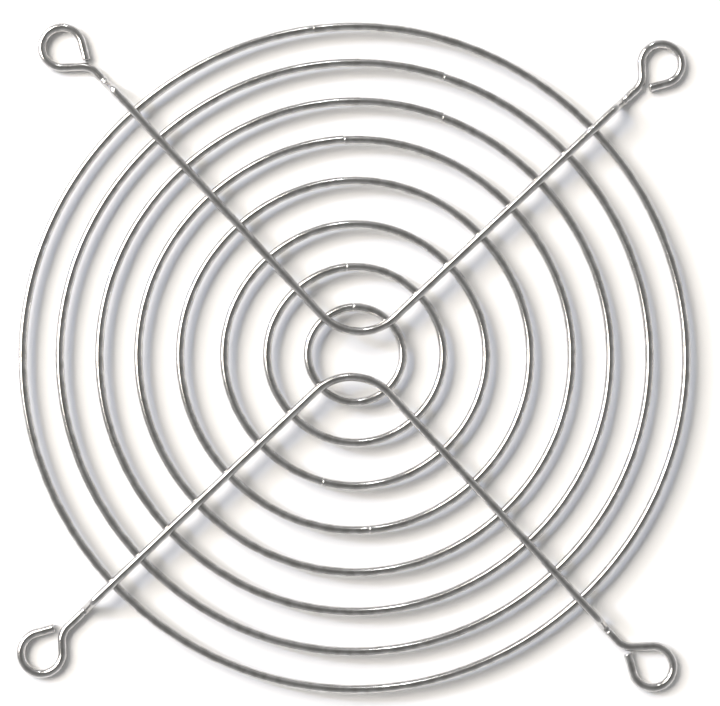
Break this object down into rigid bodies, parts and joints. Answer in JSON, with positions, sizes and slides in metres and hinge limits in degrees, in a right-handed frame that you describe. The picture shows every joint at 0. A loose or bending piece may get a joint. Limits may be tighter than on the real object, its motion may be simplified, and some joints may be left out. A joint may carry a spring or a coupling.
{
  "type": "wire fan guard",
  "caption": "Flat wire guard for a square axial fan: concentric wire rings welded under two V-shaped spoke wires whose ends step down and close into screw eyelets.",
  "frame": {"origin": "centre of the square hole pattern, on the face that the four eyelets rest on", "axes": "+Z points away from the fan, out of the guard's front; +X and +Y run along the sides of the square hole pattern; the two spoke wires' vertices lie towards +Y and -Y of the centre"},
  "size_m": [0.116, 0.116, 0.0039],
  "materials": {
    "ring_wire": "bright plated drawn wire",
    "spoke_wire": "bright plated drawn wire, with forming marks"
  },
  "bodies": {
    "root": {"ring_1": "ring_wire", "ring_2": "ring_wire", "ring_3": "ring_wire", "ring_4": "ring_wire", "ring_5": "ring_wire", "ring_6": "ring_wire", "ring_7": "ring_wire", "ring_8": "ring_wire", "rear_spoke": "spoke_wire", "front_spoke": "spoke_wire"}
  },
  "joints": []
}
